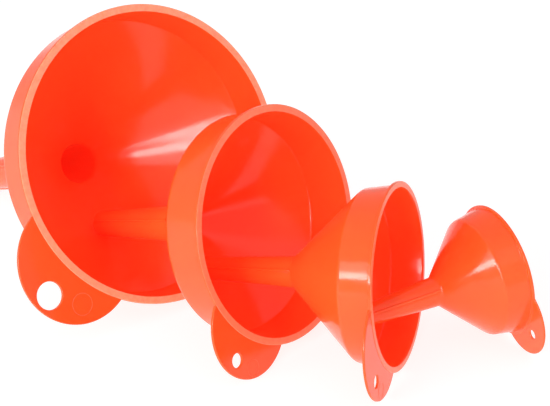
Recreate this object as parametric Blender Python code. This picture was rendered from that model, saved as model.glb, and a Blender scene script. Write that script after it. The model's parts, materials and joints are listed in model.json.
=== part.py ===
"""Set of four moulded plastic funnels, fanned out with each spout lying in the bowl of the next one up.

Each funnel is one moulding: a flat lip, a short band, a cone, a ribbed spout and a hanging tab.
Units are metres and +Z is up.  The largest funnel lies on its band and its spout tip, and each
smaller one stands on its band, lip or tab, with its spout tip laid in the next larger bowl.
"""

from dataclasses import dataclass
from math import asin, atan, atan2, cos, hypot, pi, radians, sin, sqrt, tan

import bmesh
import bpy
from mathutils import Matrix, Vector


@dataclass(frozen=True)
class FunnelSize:
    """Everything that can be set on one funnel.  Lengths in metres, angles in degrees."""

    name: str
    mouth_diameter: float      # outside of the band where it meets the lip
    wall: float                # thickness of band, cone and spout
    lip_overhang: float        # how far the lip stands out beyond the band
    lip_thickness: float
    band_depth: float          # from the lip's face to the start of the cone
    band_taper: float          # how much the band's radius shrinks over its depth
    bowl_depth: float          # from the lip's face to the start of the spout
    length: float              # from the lip's face to the spout's tip
    spout_root_radius: float
    spout_tip_radius: float
    rib_height: float
    tab_radius: float
    tab_reach: float           # from the band's outside at the mouth out to the tab's centre
    hole_radius: float
    hole_reach: float          # from the band's outside at the mouth out to the hang hole
    hole_shift: float          # how far the hole lies off the tab's centre line
    tab_turn: float            # from straight down, towards the left seen from in front
    heading: float             # which way the mouth faces: 0 is towards -Y, 90 towards +X
    tip_depth: float           # how far below the larger funnel's lip the spout tip lies
    tip_turn: float            # where in the larger bowl it lies: from straight down, to the left
    color: tuple


FUNNELS = (
    FunnelSize(
        name="largest_funnel", mouth_diameter=0.1200, wall=0.0017, lip_overhang=0.0016,
        lip_thickness=0.0018, band_depth=0.0188, band_taper=0.0009, bowl_depth=0.0655,
        length=0.1537, spout_root_radius=0.0102, spout_tip_radius=0.0072, rib_height=0.0008,
        tab_radius=0.0258, tab_reach=-0.0037, hole_radius=0.0056, hole_reach=0.0149,
        hole_shift=-0.0003, tab_turn=55.8, heading=39.1, tip_depth=0.0, tip_turn=0.0,
        color=(1.0, 0.085, 0.012, 1.0),
    ),
    FunnelSize(
        name="second_funnel", mouth_diameter=0.0902, wall=0.0015, lip_overhang=0.0016,
        lip_thickness=0.0016, band_depth=0.0187, band_taper=0.0016, bowl_depth=0.0540,
        length=0.1000, spout_root_radius=0.0077, spout_tip_radius=0.0053, rib_height=0.0007,
        tab_radius=0.0207, tab_reach=-0.0035, hole_radius=0.0028, hole_reach=0.0112,
        hole_shift=-0.0010, tab_turn=43.2, heading=52.1, tip_depth=0.0407, tip_turn=20.1,
        color=(1.0, 0.090, 0.013, 1.0),
    ),
    FunnelSize(
        name="third_funnel", mouth_diameter=0.0702, wall=0.0013, lip_overhang=0.0013,
        lip_thickness=0.0014, band_depth=0.0136, band_taper=0.0016, bowl_depth=0.0420,
        length=0.0836, spout_root_radius=0.0062, spout_tip_radius=0.0043, rib_height=0.0006,
        tab_radius=0.0205, tab_reach=-0.0036, hole_radius=0.0025, hole_reach=0.0095,
        hole_shift=0.0040, tab_turn=61.7, heading=69.9, tip_depth=0.0361, tip_turn=43.4,
        color=(1.0, 0.098, 0.014, 1.0),
    ),
    FunnelSize(
        name="smallest_funnel", mouth_diameter=0.0509, wall=0.0012, lip_overhang=0.0011,
        lip_thickness=0.0012, band_depth=0.0106, band_taper=0.0018, bowl_depth=0.0288,
        length=0.0714, spout_root_radius=0.0059, spout_tip_radius=0.0036, rib_height=0.0005,
        tab_radius=0.0154, tab_reach=-0.0038, hole_radius=0.0018, hole_reach=0.0046,
        hole_shift=-0.0001, tab_turn=54.2, heading=114.1, tip_depth=0.0219, tip_turn=42.1,
        color=(1.0, 0.105, 0.015, 1.0),
    ),
)

LYING_CLEARANCE = 0.0005     # between a spout's tip and the bowl it lies in
FLOOR_GAP = 0.0002           # between the floor and the lowest point of each funnel
TAB_RECESS = 0.0002          # the tab's face lies this far behind the lip's face
LIP_ROUND = 0.0003           # small round on the lip's edges
SHOULDER_RADIUS = 0.0030     # outside round between the band and the cone
THROAT_RADIUS = 0.0025       # outside round between the cone and the spout
RIB_COUNT = 3
RIB_WIDTH = 0.0011
RIB_END_GAP = 0.0015         # ribs stop this far short of the spout's tip
ARC_STEPS = 3
TURN_STEPS = 60
HOLE_STEPS = 24


def clear_scene():
    """Remove every object so that only the funnels remain."""
    for obj in list(bpy.data.objects):
        bpy.data.objects.remove(obj)


def plastic(name, color):
    """Glossy, slightly translucent polypropylene in one of the set's orange-reds."""
    material = bpy.data.materials.new(name)
    material.use_nodes = True
    shader = material.node_tree.nodes["Principled BSDF"]
    shader.inputs["Base Color"].default_value = color
    shader.inputs["Roughness"].default_value = 0.28
    shader.inputs["Metallic"].default_value = 0.0
    shader.inputs["IOR"].default_value = 1.49
    return material


def rounded(before, corner, after, radius):
    """Arc that replaces a profile corner, tangent to both of its sides."""
    back = (before - corner).normalized()
    ahead = (after - corner).normalized()
    half = back.angle(ahead) / 2
    setback = radius / tan(half)
    centre = corner + (back + ahead).normalized() * (radius / sin(half))
    start = corner + back * setback - centre
    end = corner + ahead * setback - centre
    sweep = start.angle_signed(end)
    return [centre + Matrix.Rotation(-sweep * i / ARC_STEPS, 2) @ start for i in range(ARC_STEPS + 1)]


def bowl_slope(size):
    """Angle between the cone's wall and the funnel's axis."""
    band_end = size.mouth_diameter / 2 - size.band_taper
    return atan((band_end - size.spout_root_radius) / (size.bowl_depth - size.band_depth))


def outer_profile(size):
    """Outside of the moulding as (radius, height) points, from the lip's face to the spout's tip."""
    rim = size.mouth_diameter / 2
    lip = rim + size.lip_overhang
    shoulder = Vector((rim - size.band_taper, -size.band_depth))
    throat = Vector((size.spout_root_radius, -size.bowl_depth))
    neck = Vector((rim, -size.lip_thickness))
    tip = Vector((size.spout_tip_radius, -size.length))
    points = [Vector((lip - LIP_ROUND, 0.0)), Vector((lip, -LIP_ROUND))]
    points += [Vector((lip, LIP_ROUND - size.lip_thickness)), Vector((lip - LIP_ROUND, -size.lip_thickness))]
    points += [neck]
    points += rounded(neck, shoulder, throat, SHOULDER_RADIUS)
    points += rounded(shoulder, throat, tip, THROAT_RADIUS)
    return points + [tip]


def inner_profile(size):
    """Inside of the moulding, from the spout's tip back up to the lip's face."""
    wall = size.wall
    slope = bowl_slope(size)
    rim = size.mouth_diameter / 2 - wall
    corner_drop = wall * (1 - sin(slope)) / cos(slope)
    shoulder = Vector((rim - size.band_taper, corner_drop - size.band_depth))
    throat = Vector((size.spout_root_radius - wall, corner_drop - size.bowl_depth))
    tip = Vector((size.spout_tip_radius - wall, -size.length))
    mouth = Vector((rim, 0.0))
    points = [tip]
    points += rounded(tip, throat, shoulder, THROAT_RADIUS + wall)
    points += rounded(throat, shoulder, mouth, SHOULDER_RADIUS - wall)
    return points + [mouth - Vector((0.0, LIP_ROUND)), mouth + Vector((LIP_ROUND, 0.0))]


def mesh_object(name, mesh_builder):
    """Object whose mesh is filled by mesh_builder(bmesh), with normals facing out."""
    build = bmesh.new()
    mesh_builder(build)
    bmesh.ops.recalc_face_normals(build, faces=build.faces)
    mesh = bpy.data.meshes.new(name)
    build.to_mesh(mesh)
    build.free()
    obj = bpy.data.objects.new(name, mesh)
    bpy.context.scene.collection.objects.link(obj)
    return obj


def turned_body(size):
    """Band, cone and spout as one ring of wall, turned around the funnel's axis."""
    profile = outer_profile(size) + inner_profile(size)

    def fill(build):
        verts = [build.verts.new((point.x, 0.0, point.y)) for point in profile]
        edges = [build.edges.new((a, b)) for a, b in zip(verts, verts[1:] + verts[:1])]
        bmesh.ops.spin(
            build, geom=verts + edges, axis=(0, 0, 1), cent=(0, 0, 0),
            angle=2 * pi, steps=TURN_STEPS, use_merge=True,
        )
        bmesh.ops.remove_doubles(build, verts=build.verts, dist=1e-7)

    return mesh_object(size.name, fill)


def upright_disc(name, radius, centre, top, bottom, steps):
    """Closed disc between two heights, used as a tab or as a cutter."""

    def fill(build):
        place = Matrix.Translation((centre.x, centre.y, (top + bottom) / 2))
        bmesh.ops.create_cone(
            build, cap_ends=True, segments=steps, radius1=radius, radius2=radius,
            depth=top - bottom, matrix=place,
        )

    return mesh_object(name, fill)


def combine(target, tool, operation):
    """Apply one exact Boolean and remove the tool."""
    modifier = target.modifiers.new(operation, "BOOLEAN")
    modifier.operation = operation
    modifier.solver = "EXACT"
    modifier.object = tool
    graph = bpy.context.evaluated_depsgraph_get()
    mesh = bpy.data.meshes.new_from_object(target.evaluated_get(graph))
    target.modifiers.clear()
    old = target.data
    target.data = mesh
    bpy.data.meshes.remove(old)
    bpy.data.objects.remove(tool)


def tab_axes(size):
    """Directions along the tab and across it, in the plane of the mouth."""
    turn = radians(size.tab_turn)
    along = Vector((-sin(turn), -cos(turn)))
    return along, Vector((-along.y, along.x))


def hanging_tab(size):
    """Round tab with its hang hole, cut away where the mouth is open."""
    along, across = tab_axes(size)
    top = -TAB_RECESS
    bottom = TAB_RECESS - size.lip_thickness
    mouth_radius = size.mouth_diameter / 2
    middle = along * (mouth_radius + size.tab_reach)
    tab = upright_disc(size.name + "_tab", size.tab_radius, middle, top, bottom, TURN_STEPS)
    over = size.lip_thickness
    inside = size.mouth_diameter / 2 - size.wall / 2
    mouth = upright_disc("mouth_cut", inside, Vector((0.0, 0.0)), over, -over - size.wall, TURN_STEPS)
    combine(tab, mouth, "DIFFERENCE")
    centre = along * (mouth_radius + size.hole_reach) + across * size.hole_shift
    hole = upright_disc("hole_cut", size.hole_radius, centre, over, -over - size.wall, HOLE_STEPS)
    combine(tab, hole, "DIFFERENCE")
    return tab


def spout_rib(size, turn):
    """Slim lengthwise rib, from inside the cone's wall to just short of the spout's tip."""
    lean = atan((size.spout_root_radius - size.spout_tip_radius) / (size.length - size.bowl_depth))
    top = Vector((size.spout_root_radius + size.rib_height, -size.bowl_depth))
    low_height = RIB_END_GAP - size.length
    low = Vector((size.spout_tip_radius + RIB_END_GAP * tan(lean) + size.rib_height, low_height))
    sink = size.rib_height + size.wall / 2
    half = RIB_WIDTH / 2

    def fill(build):
        corners = [top, low, low - Vector((sink, 0.0)), top - Vector((sink, 0.0))]
        sides = [[build.verts.new((p.x, y, p.y)) for p in corners] for y in (-half, half)]
        build.faces.new(sides[0])
        build.faces.new(sides[1])
        for i in range(4):
            j = (i + 1) % 4
            build.faces.new((sides[0][i], sides[0][j], sides[1][j], sides[1][i]))
        bmesh.ops.rotate(build, verts=build.verts, cent=(0, 0, 0), matrix=Matrix.Rotation(turn, 3, "Z"))

    return mesh_object(size.name + "_rib", fill)


def smooth_turned_faces(mesh):
    """Smooth shading, with creases where the moulding has real edges."""
    for polygon in mesh.polygons:
        polygon.use_smooth = True
    mesh.set_sharp_from_angle(angle=radians(30))


def funnel(size):
    """One whole moulding with its origin at the mouth's centre and its mouth facing local +Z."""
    body = turned_body(size)
    combine(body, hanging_tab(size), "UNION")
    for i in range(RIB_COUNT):
        combine(body, spout_rib(size, 2 * pi * (i + 0.25) / RIB_COUNT), "UNION")
    smooth_turned_faces(body.data)
    body.data.materials.clear()
    body.data.materials.append(plastic(size.name + "_plastic", size.color))
    return body


def facing(heading, lift):
    """Unit vector out of a mouth that faces heading and is tipped up by lift."""
    return Vector((sin(heading) * cos(lift), -cos(heading) * cos(lift), sin(lift)))


def mouth_frame(out):
    """Rotation whose columns are the mouth's right, its up and its facing direction."""
    right = Vector((0, 0, 1)).cross(out).normalized()
    up = out.cross(right)
    return Matrix((right, up, out)).transposed()


def low_points(size):
    """What a funnel lying mouth up can rest on, as (distance below its axis, distance behind its lip)."""
    rim = size.mouth_diameter / 2
    reach = size.mouth_diameter / 2 + size.tab_reach
    tab = reach * cos(radians(size.tab_turn)) + size.tab_radius
    return ((rim + size.lip_overhang, 0.0), (tab, 0.0), (rim - size.band_taper, size.band_depth))


def tip_in_bowl(size, larger, larger_frame, out):
    """Centre of the spout's tip, lying on the larger bowl's wall in that funnel's own axes."""
    turn = radians(size.tip_turn)
    outward = larger_frame @ Vector((-sin(turn), -cos(turn), 0.0))
    axis = larger_frame.col[2]
    slope = bowl_slope(larger)
    wall_normal = axis * sin(slope) - outward * cos(slope)
    edge = size.spout_tip_radius * sqrt(1 - out.dot(wall_normal) ** 2)
    drop = max(size.tip_depth - larger.band_depth, 0.0)
    wall_radius = larger.mouth_diameter / 2 - larger.band_taper - larger.wall / cos(slope) - drop * tan(slope)
    radius = wall_radius - (edge + LYING_CLEARANCE) / cos(slope)
    return outward * radius - axis * size.tip_depth


def lay_out(sizes):
    """Rotation and mouth centre of each funnel, from the floor up and from the largest down."""
    places = []
    for size in sizes:
        heading = radians(size.heading)
        if not places:
            tip = size.spout_tip_radius
            lift = max(atan2(low - tip, size.length - back) for low, back in low_points(size))
            rise = max(low * cos(lift) + back * sin(lift) for low, back in low_points(size))
            centre = Vector((0.0, 0.0, rise + FLOOR_GAP))
        else:
            larger, (larger_frame, larger_centre) = sizes[len(places) - 1], places[-1]
            lift = 0.2
            for _ in range(12):
                tip = larger_centre + tip_in_bowl(size, larger, larger_frame, facing(heading, lift))
                lift = max(
                    atan2(low, size.length - back)
                    - asin((tip.z - FLOOR_GAP) / hypot(size.length - back, low))
                    for low, back in low_points(size)
                )
            centre = tip + facing(heading, lift) * size.length
        places.append((mouth_frame(facing(heading, lift)), centre))
    return places


def centre_on_floor(objects):
    """Shift the whole set so that the middle of its footprint is the world's origin."""
    bpy.context.view_layer.update()
    corners = [obj.matrix_world @ vertex.co for obj in objects for vertex in obj.data.vertices]
    low = Vector([min(corner[i] for corner in corners) for i in range(3)])
    high = Vector([max(corner[i] for corner in corners) for i in range(3)])
    shift = Vector((-(low.x + high.x) / 2, -(low.y + high.y) / 2, -low.z))
    for obj in objects:
        obj.location += shift


def main():
    """Build the four funnels and lay them out."""
    clear_scene()
    objects = []
    for size, (frame, centre) in zip(FUNNELS, lay_out(FUNNELS)):
        obj = funnel(size)
        obj.matrix_world = Matrix.Translation(centre) @ frame.to_4x4()
        objects.append(obj)
    centre_on_floor(objects)


main()
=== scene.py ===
"""Looks of a fanned set of moulded polypropylene funnels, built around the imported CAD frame.

Each funnel's lip, band, cone and spout are turned from one wall profile, and its hanging tab is
joined to the lip.  Geometry Nodes lay the ribs along the spout and the raised pips of the mark.
Every funnel is built in its own axes, then its place is put into its mesh from the frame's mounts.
"""

import json
import logging
from collections.abc import Callable
from dataclasses import dataclass
from enum import Enum
from math import atan, cos, pi, radians, sin, tan

import bmesh
import bpy
from mathutils import Matrix, Vector

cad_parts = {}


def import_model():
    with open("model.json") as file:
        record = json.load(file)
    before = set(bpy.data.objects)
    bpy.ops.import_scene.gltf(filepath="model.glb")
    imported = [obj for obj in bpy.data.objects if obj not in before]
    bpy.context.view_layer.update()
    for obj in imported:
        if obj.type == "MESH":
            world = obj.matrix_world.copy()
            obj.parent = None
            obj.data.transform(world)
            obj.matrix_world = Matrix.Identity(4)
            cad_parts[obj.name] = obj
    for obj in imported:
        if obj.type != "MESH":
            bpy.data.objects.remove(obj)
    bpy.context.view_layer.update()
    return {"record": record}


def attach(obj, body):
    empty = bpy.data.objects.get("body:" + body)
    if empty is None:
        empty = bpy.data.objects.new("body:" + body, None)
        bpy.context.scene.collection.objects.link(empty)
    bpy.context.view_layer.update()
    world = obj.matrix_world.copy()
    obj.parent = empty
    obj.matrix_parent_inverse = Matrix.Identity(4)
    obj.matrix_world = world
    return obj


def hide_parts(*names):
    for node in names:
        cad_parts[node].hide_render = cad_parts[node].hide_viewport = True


LOG = logging.getLogger("funnels")
MM = 0.001


class Joining(Enum):
    """How one solid is put together with another."""

    UNION = "UNION"
    DIFFERENCE = "DIFFERENCE"


@dataclass(frozen=True)
class FunnelSize:
    """Sizes of one funnel, in millimetres and degrees, in its own axes with the mouth facing +Z."""

    name: str
    mouth_diameter: float
    wall: float
    lip_overhang: float
    lip_thickness: float
    band_depth: float
    band_taper: float
    bowl_depth: float
    length: float
    spout_root_radius: float
    spout_tip_radius: float
    rib_height: float
    tab_radius: float
    tab_reach: float
    hole_radius: float
    hole_reach: float
    hole_shift: float
    tab_turn: float
    mark_radius: float
    mark_reach: float
    mark_shift: float
    # Share of the painted sheen: the lip's face is blended towards a pale colour.
    lip_sheen_share: float
    plastic_hex: str


FUNNELS = (
    FunnelSize(
        name="largest_funnel", mouth_diameter=120.0, wall=1.7, lip_overhang=1.6,
        lip_thickness=1.8, band_depth=18.8, band_taper=0.9, bowl_depth=65.5, length=153.7,
        spout_root_radius=10.2, spout_tip_radius=7.2, rib_height=0.8,
        tab_radius=25.8, tab_reach=-3.7, hole_radius=5.6, hole_reach=14.9, hole_shift=-0.3,
        tab_turn=55.8, mark_radius=2.6, mark_reach=8.5, mark_shift=13.0,
        lip_sheen_share=0.58, plastic_hex="FA5722",
    ),
    FunnelSize(
        name="second_funnel", mouth_diameter=90.2, wall=1.5, lip_overhang=1.6,
        lip_thickness=1.6, band_depth=18.7, band_taper=1.6, bowl_depth=54.0, length=100.0,
        spout_root_radius=7.7, spout_tip_radius=5.3, rib_height=0.7,
        tab_radius=20.7, tab_reach=-3.5, hole_radius=2.8, hole_reach=11.2, hole_shift=-1.0,
        tab_turn=43.2, mark_radius=1.9, mark_reach=10.6, mark_shift=8.5,
        lip_sheen_share=0.30, plastic_hex="FA5823",
    ),
    FunnelSize(
        name="third_funnel", mouth_diameter=70.2, wall=1.3, lip_overhang=1.3,
        lip_thickness=1.4, band_depth=13.6, band_taper=1.6, bowl_depth=42.0, length=83.6,
        spout_root_radius=6.2, spout_tip_radius=4.3, rib_height=0.6,
        tab_radius=20.5, tab_reach=-3.6, hole_radius=2.5, hole_reach=9.5, hole_shift=4.0,
        tab_turn=61.7, mark_radius=1.8, mark_reach=8.9, mark_shift=11.0,
        lip_sheen_share=0.26, plastic_hex="FA5A23",
    ),
    FunnelSize(
        name="smallest_funnel", mouth_diameter=50.9, wall=1.2, lip_overhang=1.1,
        lip_thickness=1.2, band_depth=10.6, band_taper=1.8, bowl_depth=28.8, length=71.4,
        spout_root_radius=5.9, spout_tip_radius=3.6, rib_height=0.5,
        tab_radius=15.4, tab_reach=-3.8, hole_radius=1.8, hole_reach=4.6, hole_shift=-0.1,
        tab_turn=54.2, mark_radius=1.2, mark_reach=4.2, mark_shift=5.6,
        lip_sheen_share=0.25, plastic_hex="FA5C24",
    ),
)

TAB_RECESS = 0.2
LIP_ROUND = 0.35
MOUTH_CHAMFER = 0.7
SHOULDER_RADIUS = 3.0
THROAT_RADIUS = 2.5
TIP_ROUND = 0.3
TAB_EDGE_ROUND = 0.3
RIB_COUNT = 3
RIB_PHASE = 0.25
RIB_HALF_WIDTH = 0.55
RIB_END_GAP = 1.5
MARK_PIPS = 8
MARK_PIP_RADIUS = 0.09
ARC_STEPS = 8
TURN_STEPS = 192
DISC_STEPS = 160
HOLE_STEPS = 64
RIB_STATIONS = 24
RIB_SECTION_STEPS = 20
MARK_RING_SHARE = 1.7
MARK_RING_STEPS = 64
MARK_SECTION_STEPS = 12
PIP_SEGMENTS = 16
PIP_RINGS = 8
TAB_EDGE_STEPS = 3
TAB_EDGE_ANGLE = 60
CREASE_ANGLE = 35
MERGE_DISTANCE = 1e-8
WAVE_SPACING = pi / 10  # metres from band to band of a wave texture whose scale is one


def linear_color(srgb_hex: str) -> tuple[float, float, float, float]:
    """Turn an sRGB hex value into the linear colour that shaders take.

    Args:
        srgb_hex: Six hex digits, without a hash.

    Returns:
        Linear red, green and blue, with full alpha.
    """
    channels = [int(srgb_hex[i:i + 2], 16) / 255 for i in (0, 2, 4)]
    linear = [c / 12.92 if c <= 0.04045 else ((c + 0.055) / 1.055) ** 2.4 for c in channels]
    return (*linear, 1.0)


def add_node(
    tree: bpy.types.NodeTree,
    kind: str,
    settings: dict[str, object] | None = None,
    inputs: dict[str, object] | None = None,
) -> bpy.types.Node:
    """Add a node, set its properties, and set or link its inputs.

    Args:
        tree: Tree that gets the node.
        kind: Blender's name for the node type.
        settings: Properties of the node by name.
        inputs: Values, or sockets to link from, by input name or number.

    Returns:
        The new node.
    """
    node = tree.nodes.new(kind)
    for name, value in (settings or {}).items():
        setattr(node, name, value)
    for name, value in (inputs or {}).items():
        socket = node.inputs[name]
        if isinstance(value, bpy.types.NodeSocket):
            tree.links.new(value, socket)
        else:
            socket.default_value = value
    return node


@dataclass(frozen=True)
class MouldedPolypropylene:
    """Glossy injection-moulded polypropylene with a fluorescent orange-red dye.

    Mould steel leaves a soft gloss with a slight orange peel, and the lathe that turned
    the mould leaves fine rings, which stretch the highlights.  The thin wall lets some light
    through.  A constant red emission, standing for the dye's fluorescence, paints a glow into
    the shade, so that deep parts such as the bore glow instead of going dark.  The lip's face,
    on which funnels stand and rub, is duller, and carries a painted sheen: in patches it is
    blended towards a pale colour.
    """

    name: str
    color_hex: str
    place: Matrix
    lip_inner: float
    lip_sheen_share: float
    # Pale colour of the painted sheen on the lip's face.
    lip_sheen_hex: str = "FFCBA6"
    roughness: float = 0.13
    lip_roughness: float = 0.34
    ior: float = 1.49
    gloss_level: float = 0.42
    glow: float = 0.5
    glow_depth: float = 4.0 * MM
    # Strength of a constant red emission: a painted glow that fills the shade.
    painted_glow: float = 0.16
    flow_size: float = 28.0 * MM
    orange_peel_size: float = 1.6 * MM
    ring_spacing: float = 0.9 * MM
    scuff_size: float = 5.0 * MM
    sheen_patch_size: float = 2.2 * MM
    lip_fade: float = 0.1 * MM
    glow_spread: tuple[float, float, float] = (1.0, 0.32, 0.14)
    painted_glow_hex: str = "FF3A22"
    peel_height: float = 0.05 * MM
    peel_strength: float = 0.05
    ring_height: float = 0.02 * MM
    ring_strength: float = 0.04

    def build(self) -> bpy.types.Material:
        """Make the material.

        Returns:
            The finished node material.
        """
        material = bpy.data.materials.new(self.name)
        material.use_nodes = True
        tree = material.node_tree
        tree.nodes.clear()
        local = self._own_axes(tree)
        lip = self._lip_sheen_mask(tree, local)
        shader = add_node(tree, "ShaderNodeBsdfPrincipled", inputs={
            "Base Color": self._color(tree, local, lip),
            "Roughness": self._gloss(tree, local, lip),
            "IOR": self.ior,
            "Specular IOR Level": self.gloss_level,
            "Metallic": 0.0,
            "Subsurface Weight": self.glow,
            "Subsurface Radius": self.glow_spread,
            "Subsurface Scale": self.glow_depth,
            # Constant red emission: painted glow that lifts the shade in the bowl and the bore.
            "Emission Color": linear_color(self.painted_glow_hex),
            "Emission Strength": self.painted_glow,
            "Normal": self._relief(tree, local),
        })
        add_node(tree, "ShaderNodeOutputMaterial", inputs={"Surface": shader.outputs["BSDF"]})
        return material

    def _own_axes(self, tree: bpy.types.NodeTree) -> bpy.types.NodeSocket:
        """Coordinates in the funnel's own axes, in metres from the mouth's centre."""
        coordinates = add_node(tree, "ShaderNodeTexCoord")
        mapping = add_node(tree, "ShaderNodeMapping", {"vector_type": "TEXTURE"}, {
            "Vector": coordinates.outputs["Object"],
            "Location": self.place.to_translation(),
            "Rotation": self.place.to_euler("XYZ"),
        })
        return mapping.outputs["Vector"]

    def _lip_sheen_mask(
        self, tree: bpy.types.NodeTree, local: bpy.types.NodeSocket
    ) -> bpy.types.NodeSocket:
        """One where the lip's face gets the painted sheen and duller gloss, in patches; nought
        elsewhere.
        """
        axes = add_node(tree, "ShaderNodeSeparateXYZ", inputs={"Vector": local})
        flat = add_node(tree, "ShaderNodeCombineXYZ", inputs={
            "X": axes.outputs["X"], "Y": axes.outputs["Y"],
        })
        radius = add_node(tree, "ShaderNodeVectorMath", {"operation": "LENGTH"}, {
            0: flat.outputs["Vector"],
        })
        inner = self._ranged(
            tree, radius.outputs["Value"], 0.0, 1.0,
            self.lip_inner - self.lip_fade, self.lip_inner + self.lip_fade,
        )
        top = self._ranged(tree, axes.outputs["Z"], 0.0, 1.0, -0.16 * MM, -0.06 * MM)
        # Noise breaks the painted sheen on the lip into patches.
        sheen_patches = self._ranged(
            tree, self._noise(tree, local, self.sheen_patch_size, 5.0), 0.8, 1.0, 0.35, 0.6,
        )
        return self._times(tree, self._times(tree, inner, top), sheen_patches)

    def _times(
        self, tree: bpy.types.NodeTree,
        first: bpy.types.NodeSocket | float, second: bpy.types.NodeSocket | float,
    ) -> bpy.types.NodeSocket:
        """Product of two values."""
        node = add_node(tree, "ShaderNodeMath", {"operation": "MULTIPLY"}, {0: first, 1: second})
        return node.outputs["Value"]

    def _noise(
        self, tree: bpy.types.NodeTree, local: bpy.types.NodeSocket, size: float, detail: float
    ) -> bpy.types.NodeSocket:
        """Noise whose grains are about size across."""
        noise = add_node(tree, "ShaderNodeTexNoise", inputs={
            "Vector": local, "Scale": 1 / size, "Detail": detail, "Roughness": 0.55,
        })
        return noise.outputs["Fac"]

    def _ranged(
        self, tree: bpy.types.NodeTree, value: bpy.types.NodeSocket,
        low: float, high: float, start: float = 0.3, end: float = 0.7,
    ) -> bpy.types.NodeSocket:
        """The value's stretch from start to end, spread over low to high."""
        ranged = add_node(tree, "ShaderNodeMapRange", inputs={
            "Value": value, "From Min": start, "From Max": end, "To Min": low, "To Max": high,
        })
        return ranged.outputs["Result"]

    def _mixed(
        self, tree: bpy.types.NodeTree, share: bpy.types.NodeSocket,
        first: bpy.types.NodeSocket | tuple, second: bpy.types.NodeSocket | tuple,
    ) -> bpy.types.NodeSocket:
        """Colour between the first, at share nought, and the second, at share one."""
        mix = add_node(tree, "ShaderNodeMix", {"data_type": "RGBA"}, {
            0: share, 6: first, 7: second,
        })
        return mix.outputs[2]

    def _color(
        self, tree: bpy.types.NodeTree, local: bpy.types.NodeSocket, lip: bpy.types.NodeSocket
    ) -> bpy.types.NodeSocket:
        """Dyed plastic with slow flow-like changes of tone, and the painted sheen on the lip's
        face.
        """
        flow = self._ranged(tree, self._noise(tree, local, self.flow_size, 2.0), 0.0, 1.0)
        deep = linear_color(self.color_hex)
        light = (min(deep[0] * 1.02, 1.0), deep[1] * 1.12, deep[2] * 1.15, 1.0)
        dyed = self._mixed(tree, flow, deep, light)
        # Painted sheen: the lip's face is blended towards the pale colour.
        return self._mixed(
            tree, self._times(tree, lip, self.lip_sheen_share), dyed, linear_color(self.lip_sheen_hex),
        )

    def _gloss(
        self, tree: bpy.types.NodeTree, local: bpy.types.NodeSocket, lip: bpy.types.NodeSocket
    ) -> bpy.types.NodeSocket:
        """Roughness with soft handling scuffs, and a duller lip."""
        scuffs = self._ranged(
            tree, self._noise(tree, local, self.scuff_size, 6.0),
            self.roughness - 0.02, self.roughness + 0.07, 0.4, 0.8,
        )
        mix = add_node(tree, "ShaderNodeMix", {"data_type": "FLOAT"}, {
            0: lip, 2: scuffs, 3: self.lip_roughness,
        })
        return mix.outputs[0]

    def _relief(
        self, tree: bpy.types.NodeTree, local: bpy.types.NodeSocket
    ) -> bpy.types.NodeSocket:
        """Orange peel, and the fine rings that the turned mould leaves around the axis."""
        peel = add_node(tree, "ShaderNodeBump", inputs={
            "Height": self._noise(tree, local, self.orange_peel_size, 1.0),
            "Strength": self.peel_strength,
            "Distance": self.peel_height,
        })
        rings = add_node(tree, "ShaderNodeTexWave", {
            "wave_type": "BANDS", "bands_direction": "Z", "wave_profile": "SIN",
        }, {
            "Vector": local, "Scale": WAVE_SPACING / self.ring_spacing,
            "Distortion": 0.15, "Detail": 0.0,
        })
        turned = add_node(tree, "ShaderNodeBump", inputs={
            "Height": rings.outputs["Fac"],
            "Strength": self.ring_strength, "Distance": self.ring_height,
            "Normal": peel.outputs["Normal"],
        })
        return turned.outputs["Normal"]


def rounded(before: Vector, corner: Vector, after: Vector, radius: float) -> list[Vector]:
    """Replace a profile corner by an arc that is tangent to both of its sides.

    Args:
        before: Point before the corner.
        corner: The corner itself.
        after: Point after the corner.
        radius: Radius of the arc.

    Returns:
        Points along the arc.
    """
    back = (before - corner).normalized()
    ahead = (after - corner).normalized()
    half = back.angle(ahead) / 2
    setback = radius / tan(half)
    centre = corner + (back + ahead).normalized() * (radius / sin(half))
    start = corner + back * setback - centre
    sweep = start.angle_signed(corner + ahead * setback - centre)
    turns = [Matrix.Rotation(-sweep * i / ARC_STEPS, 2) for i in range(ARC_STEPS + 1)]
    return [centre + turn @ start for turn in turns]


def mesh_object(name: str, fill: Callable[[bmesh.types.BMesh], None]) -> bpy.types.Object:
    """Make an object from a filled bmesh, with its normals facing out.

    Args:
        name: Name of the object and its mesh.
        fill: Function that puts the geometry into the bmesh.

    Returns:
        The new object, linked to the scene.
    """
    build = bmesh.new()
    fill(build)
    bmesh.ops.recalc_face_normals(build, faces=build.faces)
    mesh = bpy.data.meshes.new(name)
    build.to_mesh(mesh)
    build.free()
    obj = bpy.data.objects.new(name, mesh)
    bpy.context.scene.collection.objects.link(obj)
    return obj


def bake_modifiers(obj: bpy.types.Object) -> None:
    """Turn what the object's modifiers show into its plain mesh, and remove them."""
    graph = bpy.context.evaluated_depsgraph_get()
    mesh = bpy.data.meshes.new_from_object(obj.evaluated_get(graph))
    old = obj.data
    obj.modifiers.clear()
    obj.data = mesh
    bpy.data.meshes.remove(old)


def combine(target: bpy.types.Object, tool: bpy.types.Object, joining: Joining) -> None:
    """Apply one exact Boolean and remove the tool.

    Args:
        target: Object that is kept.
        tool: Object that is used up.
        joining: Whether the tool is added to the target or cut from it.
    """
    modifier = target.modifiers.new(joining.value, "BOOLEAN")
    modifier.operation = joining.value
    modifier.solver = "EXACT"
    modifier.object = tool
    bake_modifiers(target)
    bpy.data.objects.remove(tool)


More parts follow.
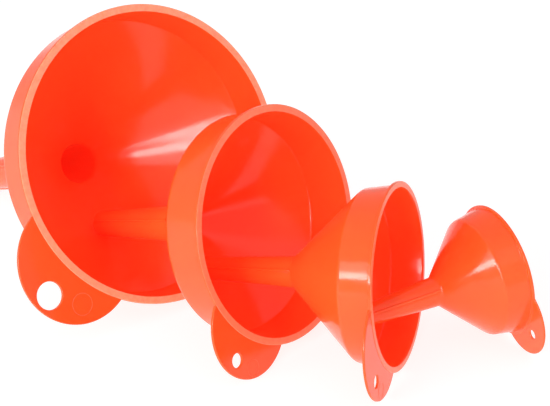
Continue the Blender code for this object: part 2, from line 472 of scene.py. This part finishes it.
@dataclass
class RibNodes:
    """Geometry Nodes tree that sets slim round-backed ribs around a spout."""

    name: str = "spout_ribs"

    def build(self) -> bpy.types.NodeTree:
        """Make the tree.

        Returns:
            A tree with inputs for the count, both ends, the half width and the material.
        """
        tree = bpy.data.node_groups.new(self.name, "GeometryNodeTree")
        face = tree.interface
        face.new_socket("Geometry", in_out="OUTPUT", socket_type="NodeSocketGeometry")
        face.new_socket("Count", in_out="INPUT", socket_type="NodeSocketInt")
        face.new_socket("Phase", in_out="INPUT", socket_type="NodeSocketFloat")
        face.new_socket("Root", in_out="INPUT", socket_type="NodeSocketVector")
        face.new_socket("Tip", in_out="INPUT", socket_type="NodeSocketVector")
        face.new_socket("Half Width", in_out="INPUT", socket_type="NodeSocketFloat")
        face.new_socket("Material", in_out="INPUT", socket_type="NodeSocketMaterial")
        given = add_node(tree, "NodeGroupInput").outputs
        spine = add_node(tree, "GeometryNodeCurvePrimitiveLine", inputs={
            "Start": given["Root"], "End": given["Tip"],
        })
        steps = add_node(tree, "GeometryNodeResampleCurve", inputs={
            "Curve": spine.outputs["Curve"], "Count": RIB_STATIONS,
        })
        section = add_node(tree, "GeometryNodeCurvePrimitiveCircle", inputs={
            "Resolution": RIB_SECTION_STEPS, "Radius": given["Half Width"],
        })
        rib = add_node(tree, "GeometryNodeCurveToMesh", inputs={
            "Curve": steps.outputs["Curve"], "Profile Curve": section.outputs["Curve"],
            "Fill Caps": True,
        })
        places = add_node(tree, "GeometryNodeMeshLine", inputs={
            "Count": given["Count"], "Offset": (0.0, 0.0, 0.0),
        })
        index = add_node(tree, "GeometryNodeInputIndex")
        turned = add_node(tree, "ShaderNodeMath", {"operation": "ADD"}, {
            0: index.outputs["Index"], 1: given["Phase"],
        })
        share = add_node(tree, "ShaderNodeMath", {"operation": "DIVIDE"}, {
            0: turned.outputs["Value"], 1: given["Count"],
        })
        angle = add_node(tree, "ShaderNodeMath", {"operation": "MULTIPLY"}, {
            0: share.outputs["Value"], 1: 2 * pi,
        })
        turn = add_node(tree, "ShaderNodeCombineXYZ", inputs={"Z": angle.outputs["Value"]})
        ribs = add_node(tree, "GeometryNodeInstanceOnPoints", inputs={
            "Points": places.outputs["Mesh"], "Instance": rib.outputs["Mesh"],
            "Rotation": turn.outputs["Vector"],
        })
        real = add_node(tree, "GeometryNodeRealizeInstances", inputs={
            "Geometry": ribs.outputs["Instances"],
        })
        smooth = add_node(tree, "GeometryNodeSetShadeSmooth", inputs={
            "Geometry": real.outputs["Geometry"],
        })
        dressed = add_node(tree, "GeometryNodeSetMaterial", inputs={
            "Geometry": smooth.outputs["Geometry"], "Material": given["Material"],
        })
        add_node(tree, "NodeGroupOutput", inputs={"Geometry": dressed.outputs["Geometry"]})
        return tree


@dataclass
class PipNodes:
    """Geometry Nodes tree that sets raised pips and a ring around a point: a plain tool mark."""

    name: str = "tool_mark"

    def build(self) -> bpy.types.NodeTree:
        """Make the tree.

        Returns:
            A tree with inputs for the count, the ring's centre and radius, the pip radius
            and the material.
        """
        tree = bpy.data.node_groups.new(self.name, "GeometryNodeTree")
        face = tree.interface
        face.new_socket("Geometry", in_out="OUTPUT", socket_type="NodeSocketGeometry")
        face.new_socket("Count", in_out="INPUT", socket_type="NodeSocketInt")
        face.new_socket("Centre", in_out="INPUT", socket_type="NodeSocketVector")
        face.new_socket("Radius", in_out="INPUT", socket_type="NodeSocketFloat")
        face.new_socket("Pip Radius", in_out="INPUT", socket_type="NodeSocketFloat")
        face.new_socket("Material", in_out="INPUT", socket_type="NodeSocketMaterial")
        given = add_node(tree, "NodeGroupInput").outputs
        circle = add_node(tree, "GeometryNodeMeshCircle", inputs={
            "Vertices": given["Count"], "Radius": given["Radius"],
        })
        pip = add_node(tree, "GeometryNodeMeshUVSphere", inputs={
            "Segments": PIP_SEGMENTS, "Rings": PIP_RINGS, "Radius": given["Pip Radius"],
        })
        pips = add_node(tree, "GeometryNodeInstanceOnPoints", inputs={
            "Points": circle.outputs["Mesh"], "Instance": pip.outputs["Mesh"],
        })
        wide = add_node(tree, "ShaderNodeMath", {"operation": "MULTIPLY"}, {
            0: given["Radius"], 1: MARK_RING_SHARE,
        })
        loop = add_node(tree, "GeometryNodeCurvePrimitiveCircle", inputs={
            "Resolution": MARK_RING_STEPS, "Radius": wide.outputs["Value"],
        })
        section = add_node(tree, "GeometryNodeCurvePrimitiveCircle", inputs={
            "Resolution": MARK_SECTION_STEPS, "Radius": given["Pip Radius"],
        })
        ring = add_node(tree, "GeometryNodeCurveToMesh", inputs={
            "Curve": loop.outputs["Curve"], "Profile Curve": section.outputs["Curve"],
        })
        both = add_node(tree, "GeometryNodeJoinGeometry")
        tree.links.new(pips.outputs["Instances"], both.inputs["Geometry"])
        tree.links.new(ring.outputs["Mesh"], both.inputs["Geometry"])
        moved = add_node(tree, "GeometryNodeTransform", inputs={
            "Geometry": both.outputs["Geometry"], "Translation": given["Centre"],
        })
        real = add_node(tree, "GeometryNodeRealizeInstances", inputs={
            "Geometry": moved.outputs["Geometry"],
        })
        smooth = add_node(tree, "GeometryNodeSetShadeSmooth", inputs={
            "Geometry": real.outputs["Geometry"],
        })
        dressed = add_node(tree, "GeometryNodeSetMaterial", inputs={
            "Geometry": smooth.outputs["Geometry"], "Material": given["Material"],
        })
        add_node(tree, "NodeGroupOutput", inputs={"Geometry": dressed.outputs["Geometry"]})
        return tree


def grow(name: str, tree: bpy.types.NodeTree, values: dict[str, object]) -> bpy.types.Object:
    """Make a plain mesh object from a Geometry Nodes tree.

    Args:
        name: Name of the new object.
        tree: Tree to run.
        values: Values of the tree's inputs by name.

    Returns:
        The object, with the tree's result as its mesh and no modifier.
    """
    obj = mesh_object(name, lambda build: None)
    modifier = obj.modifiers.new(tree.name, "NODES")
    modifier.node_group = tree
    for item in tree.interface.items_tree:
        if item.item_type == "SOCKET" and item.in_out == "INPUT":
            modifier[item.identifier] = values[item.name]
    bake_modifiers(obj)
    return obj


@dataclass
class Funnel:
    """One funnel: the moulded shell, the ribs of its spout and the mark on its tab."""

    size: FunnelSize
    place: Matrix
    ribs: bpy.types.NodeTree
    pips: bpy.types.NodeTree

    def build(self) -> list[bpy.types.Object]:
        """Build every piece of the funnel and put it on its body.

        Returns:
            The finished pieces.
        """
        plastic = MouldedPolypropylene(
            name=self.size.name + "_moulded_polypropylene",
            color_hex=self.size.plastic_hex,
            place=self.place,
            lip_inner=(self.size.mouth_diameter / 2 - self.size.wall) * MM,
            lip_sheen_share=self.size.lip_sheen_share,
        ).build()
        pieces = [self.shell(plastic), self.tool_mark(plastic)]
        for piece in pieces:
            piece.data.transform(self.place)
            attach(piece, self.size.name)
        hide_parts(self.size.name)
        return pieces

    def slope(self) -> float:
        """Angle between the cone's wall and the funnel's axis."""
        size = self.size
        fall = size.bowl_depth - size.band_depth
        return atan((size.mouth_diameter / 2 - size.band_taper - size.spout_root_radius) / fall)

    def outer_profile(self) -> list[Vector]:
        """Outside of the wall as (radius, height) points, from the lip's face to the tip."""
        size = self.size
        rim = size.mouth_diameter / 2
        face = Vector((rim - size.wall / 2, 0.0))
        top = Vector((rim + size.lip_overhang, 0.0))
        under = Vector((rim + size.lip_overhang, -size.lip_thickness))
        neck = Vector((rim, -size.lip_thickness))
        shoulder = Vector((rim - size.band_taper, -size.band_depth))
        throat = Vector((size.spout_root_radius, -size.bowl_depth))
        tip = Vector((size.spout_tip_radius, -size.length))
        inside_tip = Vector((size.spout_tip_radius - size.wall, -size.length))
        points = rounded(face, top, under, LIP_ROUND)
        points += rounded(top, under, neck, LIP_ROUND)
        points += rounded(under, neck, shoulder, LIP_ROUND)
        points += rounded(neck, shoulder, throat, SHOULDER_RADIUS)
        points += rounded(shoulder, throat, tip, THROAT_RADIUS)
        return points + rounded(throat, tip, inside_tip, TIP_ROUND)

    def inner_profile(self) -> list[Vector]:
        """Inside of the wall, from the spout's tip back up to the lip's face."""
        size = self.size
        slope = self.slope()
        rim = size.mouth_diameter / 2 - size.wall
        drop = size.wall * (1 - sin(slope)) / cos(slope)
        shoulder = Vector((rim - size.band_taper, drop - size.band_depth))
        throat = Vector((size.spout_root_radius - size.wall, drop - size.bowl_depth))
        tip = Vector((size.spout_tip_radius - size.wall, -size.length))
        outside_tip = Vector((size.spout_tip_radius, -size.length))
        inset = size.band_taper * MOUTH_CHAMFER / size.band_depth
        chamfer_foot = Vector((rim - inset, -MOUTH_CHAMFER))
        chamfer_top = Vector((rim + MOUTH_CHAMFER / 2, 0.0))
        points = rounded(outside_tip, tip, throat, TIP_ROUND)
        points += rounded(tip, throat, shoulder, THROAT_RADIUS + size.wall)
        points += rounded(throat, shoulder, chamfer_foot, SHOULDER_RADIUS - size.wall)
        return points + [chamfer_foot, chamfer_top]

    def shell(self, plastic: bpy.types.Material) -> bpy.types.Object:
        """Lip, band, cone, ribbed spout and tab as one closed wall."""
        profile = self.outer_profile() + self.inner_profile()

        def fill(build: bmesh.types.BMesh) -> None:
            """Turn the profile all the way round the axis."""
            verts = [build.verts.new((p.x * MM, 0.0, p.y * MM)) for p in profile]
            edges = [build.edges.new(pair) for pair in zip(verts, verts[1:] + verts[:1])]
            bmesh.ops.spin(
                build, geom=verts + edges, axis=(0, 0, 1), cent=(0, 0, 0),
                angle=2 * pi, steps=TURN_STEPS, use_merge=True,
            )
            bmesh.ops.remove_doubles(build, verts=build.verts, dist=MERGE_DISTANCE)

        shell = mesh_object(self.size.name + "_shell", fill)
        combine(shell, self.tab(), Joining.UNION)
        combine(shell, self.spout_ribs(plastic), Joining.UNION)
        self.shade(shell)
        shell.data.materials.clear()
        shell.data.materials.append(plastic)
        return shell

    def tab_axes(self) -> tuple[Vector, Vector]:
        """Directions along the tab and across it, in the plane of the mouth."""
        turn = radians(self.size.tab_turn)
        along = Vector((-sin(turn), -cos(turn)))
        return along, Vector((-along.y, along.x))

    def disc(
        self, radius: float, centre: Vector, top: float, bottom: float, steps: int
    ) -> bpy.types.Object:
        """Closed disc between two heights, in millimetres."""

        def fill(build: bmesh.types.BMesh) -> None:
            """Closed round plate."""
            bmesh.ops.create_cone(
                build, cap_ends=True, segments=steps, radius1=radius * MM, radius2=radius * MM,
                depth=(top - bottom) * MM,
                matrix=Matrix.Translation(Vector((centre.x, centre.y, (top + bottom) / 2)) * MM),
            )

        return mesh_object(self.size.name + "_disc", fill)

    def tab(self) -> bpy.types.Object:
        """Round hanging tab with its hole and softly rounded edges, cut away over the mouth."""
        size = self.size
        along, across = self.tab_axes()
        top, bottom = -TAB_RECESS, TAB_RECESS - size.lip_thickness
        over = size.lip_thickness
        mouth_radius = size.mouth_diameter / 2
        middle = along * (mouth_radius + size.tab_reach)
        tab = self.disc(size.tab_radius, middle, top, bottom, DISC_STEPS)
        hole_middle = along * (mouth_radius + size.hole_reach) + across * size.hole_shift
        hole = self.disc(size.hole_radius, hole_middle, over, -over * 2, HOLE_STEPS)
        combine(tab, hole, Joining.DIFFERENCE)
        bevel = tab.modifiers.new("edge_round", "BEVEL")
        bevel.width = TAB_EDGE_ROUND * MM
        bevel.segments = TAB_EDGE_STEPS
        bevel.limit_method = "ANGLE"
        bevel.angle_limit = radians(TAB_EDGE_ANGLE)
        bake_modifiers(tab)
        mouth = self.disc(
            mouth_radius - size.wall / 2, Vector((0.0, 0.0)), over, -over * 2, TURN_STEPS,
        )
        combine(tab, mouth, Joining.DIFFERENCE)
        return tab

    def shade(self, shell: bpy.types.Object) -> None:
        """Smooth shading with creases at real edges, and flat faces kept flat."""
        for polygon in shell.data.polygons:
            polygon.use_smooth = True
        shell.data.set_sharp_from_angle(angle=radians(CREASE_ANGLE))
        weighted = shell.modifiers.new("flat_faces_first", "WEIGHTED_NORMAL")
        weighted.keep_sharp = True
        bake_modifiers(shell)

    def spout_ribs(self, plastic: bpy.types.Material) -> bpy.types.Object:
        """Ribs that keep the spout off a bottle's neck, so that air gets out."""
        size = self.size
        sink = size.rib_height - RIB_HALF_WIDTH
        fall = size.length - size.bowl_depth
        share = RIB_END_GAP / fall
        low = size.spout_tip_radius + (size.spout_root_radius - size.spout_tip_radius) * share
        return grow(size.name + "_spout_ribs", self.ribs, {
            "Count": RIB_COUNT,
            "Phase": RIB_PHASE,
            "Root": Vector((size.spout_root_radius + sink, 0.0, -size.bowl_depth)) * MM,
            "Tip": Vector((low + sink, 0.0, RIB_END_GAP - size.length)) * MM,
            "Half Width": RIB_HALF_WIDTH * MM,
            "Material": plastic,
        })

    def tool_mark(self, plastic: bpy.types.Material) -> bpy.types.Object:
        """Plain raised ring of pips on the tab's face, standing for a moulder's mark."""
        size = self.size
        along, across = self.tab_axes()
        centre = along * (size.mouth_diameter / 2 + size.mark_reach) + across * size.mark_shift
        return grow(size.name + "_tool_mark", self.pips, {
            "Count": MARK_PIPS,
            "Centre": Vector((centre.x, centre.y, -TAB_RECESS)) * MM,
            "Radius": size.mark_radius * MM,
            "Pip Radius": MARK_PIP_RADIUS * MM,
            "Material": plastic,
        })


def funnel_place(size: FunnelSize, mounts: dict[str, dict]) -> Matrix:
    """Work out where a funnel lies from the flat-face mount at the top of its lip.

    Args:
        size: The funnel.
        mounts: The frame's mounts by name.

    Returns:
        Matrix from the funnel's own axes, in metres, to the frame.
    """
    mount = mounts[size.name + "_lip"]
    out = Vector(mount["axis"]).normalized()
    right = Vector((0, 0, 1)).cross(out).normalized()
    up = out.cross(right)
    lip_middle = (size.mouth_diameter / 2 - size.wall / 2 + size.lip_overhang / 2) * MM
    centre = Vector(mount["pos_m"]) - up * lip_middle
    return Matrix.Translation(centre) @ Matrix((right, up, out)).transposed().to_4x4()


@dataclass(frozen=True)
class SoftBox:
    """One oblong studio light, placed by the direction it is seen in from the middle of the set.

    Azimuth is turned from +Y towards +X, and elevation up from the floor, both in degrees.
    """

    name: str
    azimuth: float
    elevation: float
    distance: float
    width: float
    height: float
    radiance: float
    target: tuple[float, float, float] = (0.02, -0.05, 0.04)

    def build(self) -> None:
        """Add the light to the scene."""
        turn, rise = radians(self.azimuth), radians(self.elevation)
        outward = Vector((sin(turn) * cos(rise), cos(turn) * cos(rise), sin(rise)))
        light = bpy.data.lights.new(self.name, "AREA")
        light.shape = "RECTANGLE"
        light.size = self.width
        light.size_y = self.height
        light.energy = self.radiance * pi * self.width * self.height
        obj = bpy.data.objects.new(self.name, light)
        obj.location = Vector(self.target) + outward * self.distance
        obj.rotation_euler = (-outward).to_track_quat("-Z", "Y").to_euler()
        obj.visible_camera = False
        bpy.context.scene.collection.objects.link(obj)


@dataclass(frozen=True)
class Studio:
    """White floor, white surroundings, soft boxes and the camera."""

    camera_pitch: float = 23.815
    camera_roll: float = -0.309
    camera_height: float = 0.2921
    camera_back: float = 0.5716
    camera_side: float = 0.0491
    sensor_width: float = 36.0
    focal_share: float = 1500 / 550
    floor_half: float = 12.0
    floor_grey: float = 0.35
    floor_roughness: float = 0.9
    surroundings: float = 0.55
    floor_glow: float = 0.8

    def build(self, largest_mouth: Vector) -> None:
        """Add everything that isn't the object.

        Args:
            largest_mouth: Centre of the largest funnel's mouth; the camera is placed from it.
        """
        self._world()
        self._floor()
        self._camera(largest_mouth)
        for box in (
            SoftBox("window_low", -141.0, 17.2, 1.2, 1.0, 0.15, 16.0),
            SoftBox("window_high", -140.0, 27.0, 1.2, 1.1, 0.25, 2.4),
            SoftBox("window_foot", -163.0, 8.0, 1.2, 0.14, 0.26, 14.0),
            SoftBox("right_overhead", 150.0, 48.0, 1.2, 0.5, 0.6, 0.35),
        ):
            box.build()
        bpy.context.scene.view_settings.view_transform = "Standard"

    def _world(self) -> None:
        """Even white light from all round."""
        world = bpy.data.worlds.new("white_studio")
        world.use_nodes = True
        background = world.node_tree.nodes["Background"]
        background.inputs["Color"].default_value = (1.0, 1.0, 1.0, 1.0)
        background.inputs["Strength"].default_value = self.surroundings
        bpy.context.scene.world = world

    def _floor(self) -> None:
        """Plain floor of matt white board, whose faint glow keeps it white under the set."""

        def fill(build: bmesh.types.BMesh) -> None:
            """One flat square."""
            bmesh.ops.create_grid(build, x_segments=1, y_segments=1, size=self.floor_half)

        floor = mesh_object("studio_floor", fill)
        material = bpy.data.materials.new("matt_white_board")
        material.use_nodes = True
        shader = material.node_tree.nodes["Principled BSDF"]
        shader.inputs["Base Color"].default_value = (*[self.floor_grey] * 3, 1.0)
        shader.inputs["Roughness"].default_value = self.floor_roughness
        shader.inputs["Emission Color"].default_value = (1.0, 1.0, 1.0, 1.0)
        shader.inputs["Emission Strength"].default_value = self.floor_glow
        floor.data.materials.append(material)

    def _camera(self, mouth: Vector) -> None:
        """Camera that looks down the fan at the studio's angle."""
        camera = bpy.data.cameras.new("studio_camera")
        camera.sensor_width = self.sensor_width
        camera.lens = self.sensor_width * self.focal_share
        obj = bpy.data.objects.new("studio_camera", camera)
        obj.location = (mouth.x + self.camera_side, mouth.y - self.camera_back, self.camera_height)
        turned = Matrix.Rotation(radians(90 - self.camera_pitch), 3, "X")
        rolled = turned @ Matrix.Rotation(radians(self.camera_roll), 3, "Z")
        obj.rotation_euler = rolled.to_euler()
        bpy.context.scene.collection.objects.link(obj)
        bpy.context.scene.camera = obj


def main() -> None:
    """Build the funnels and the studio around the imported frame."""
    logging.basicConfig(level=logging.INFO, format="%(name)s: %(message)s")
    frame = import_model()
    mounts = {mount["name"]: mount for mount in frame["record"]["mounts"]}
    ribs = RibNodes().build()
    pips = PipNodes().build()
    for size in FUNNELS:
        for piece in Funnel(size, funnel_place(size, mounts), ribs, pips).build():
            LOG.info("%s: %d faces", piece.name, len(piece.data.polygons))
    Studio().build(funnel_place(FUNNELS[0], mounts).to_translation())


if __name__ == "__main__":
    main()
